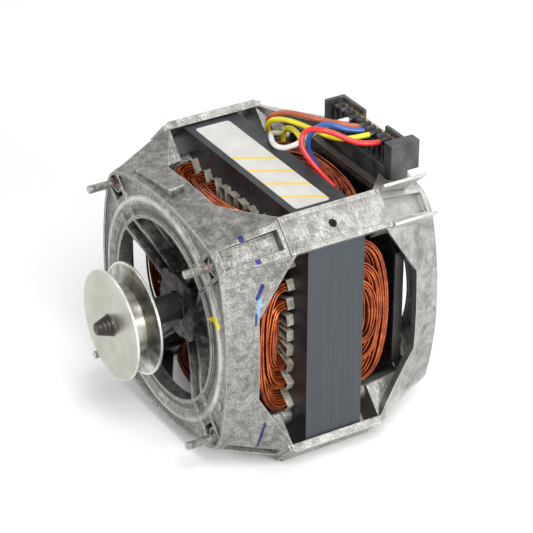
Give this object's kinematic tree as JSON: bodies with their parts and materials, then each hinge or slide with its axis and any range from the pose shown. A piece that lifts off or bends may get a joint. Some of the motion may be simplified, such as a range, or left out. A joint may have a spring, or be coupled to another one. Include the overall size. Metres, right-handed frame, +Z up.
{
  "type": "washing machine motor",
  "caption": "Open-frame induction motor with cast end shields, square lamination stack, copper windings, grooved belt pulley, mounting studs and a rear terminal block.",
  "frame": {"origin": "on the shaft axis, in the plane of the front mounting face that the four studs stand out of", "axes": "+Y runs back through the motor, away from the pulley; +Z is up, towards the label and terminal block; +X is the side with the bare lamination band"},
  "size_m": [0.1506, 0.171, 0.1678],
  "materials": {
    "cast_aluminium": "rough die cast, mottled",
    "lamination_steel": "thin blue-black paint over steel laminations",
    "liner_paper": "thin translucent film",
    "enamelled_copper": "varnished copper wire",
    "zinc_steel": "zinc plated, a little rusty",
    "bronze": "sintered bronze, oily",
    "felt": "oil soaked felt",
    "dark_steel": "black oxide, oily",
    "yellow_zinc": "pale yellow zinc plating",
    "black_rubber": "matt black",
    "brown_plastic": "moulded phenolic",
    "brass": "bright brass",
    "black_plastic": "satin black",
    "label_paper": "plain printed stock with no lettering",
    "lead_orange": "smooth insulation",
    "lead_yellow": "smooth insulation",
    "lead_white": "smooth insulation",
    "lead_blue": "smooth insulation",
    "lead_red": "smooth insulation"
  },
  "bodies": {
    "motor_frame": {"front_end_shield": "cast_aluminium", "rear_end_shield": "cast_aluminium", "stator_core": "lamination_steel", "slot_liners": "liner_paper", "main_coils_right": "enamelled_copper", "main_coils_top": "enamelled_copper", "main_coils_left": "enamelled_copper", "main_coils_bottom": "enamelled_copper", "through_bolts": "zinc_steel", "front_bearing": "bronze", "rear_bearing": "bronze", "front_oil_wick": "felt", "rear_oil_wick": "felt", "front_bearing_retainer": "zinc_steel", "rear_bearing_retainer": "zinc_steel", "switch_bracket": "zinc_steel", "switch_lever_pin": "zinc_steel", "switch_contact": "brass", "air_baffle": "black_plastic", "baffle_bar": "black_plastic", "terminal_block": "black_plastic", "terminals": "brass", "overload_protector": "black_plastic", "motor_label": "label_paper", "lead_orange": "lead_orange", "lead_yellow_long": "lead_yellow", "lead_yellow_short": "lead_yellow", "lead_white": "lead_white", "lead_blue": "lead_blue", "lead_red": "lead_red"},
    "rotor": {"rotor_shaft": "dark_steel", "rotor_core": "lamination_steel", "rotor_cage": "cast_aluminium", "pulley_front_flange": "yellow_zinc", "pulley_drum": "yellow_zinc", "pulley_rear_flange": "yellow_zinc", "shaft_sleeve": "black_rubber", "front_thrust_washer": "brown_plastic", "rear_thrust_washer": "brown_plastic", "front_rotor_spacer": "zinc_steel", "rear_rotor_spacer": "zinc_steel", "governor_plate": "zinc_steel", "governor_pins": "zinc_steel"},
    "switch_collar": {"switch_collar": "brown_plastic"},
    "governor_weight_upper": {"governor_weight_upper": "zinc_steel"},
    "governor_weight_lower": {"governor_weight_lower": "zinc_steel"},
    "switch_lever": {"switch_lever": "brown_plastic"}
  },
  "joints": [
    {"name": "rotor_spin", "type": "hinge", "parent": "motor_frame", "child": "rotor", "pos_m": [0, 0, 0], "axis": [0, 1, 0], "continuous": true},
    {"name": "switch_collar_slide", "type": "slide", "parent": "rotor", "child": "switch_collar", "axis": [0, -1, 0], "range_m": [0, 0.0014], "stiffness_N_per_m": 400},
    {"name": "governor_weight_upper_swing", "type": "hinge", "parent": "rotor", "child": "governor_weight_upper", "pos_m": [0, 0.096, 0.0165], "axis": [-1, 0, 0], "range_deg": [0, 16.2]},
    {"name": "governor_weight_lower_swing", "type": "hinge", "parent": "rotor", "child": "governor_weight_lower", "pos_m": [0, 0.096, -0.0165], "axis": [1, 0, 0], "range_deg": [0, 16.2]},
    {"name": "switch_lever_swing", "type": "hinge", "parent": "motor_frame", "child": "switch_lever", "pos_m": [0, 0.10015, 0.022], "axis": [-1, 0, 0], "range_deg": [0, 7.3]}
  ],
  "couplings": [
    {"joint": "governor_weight_upper_swing", "follows": "switch_collar_slide", "rad_per_m": 199.94},
    {"joint": "governor_weight_lower_swing", "follows": "switch_collar_slide", "rad_per_m": 199.94},
    {"joint": "switch_lever_swing", "follows": "switch_collar_slide", "rad_per_m": 90.096}
  ]
}
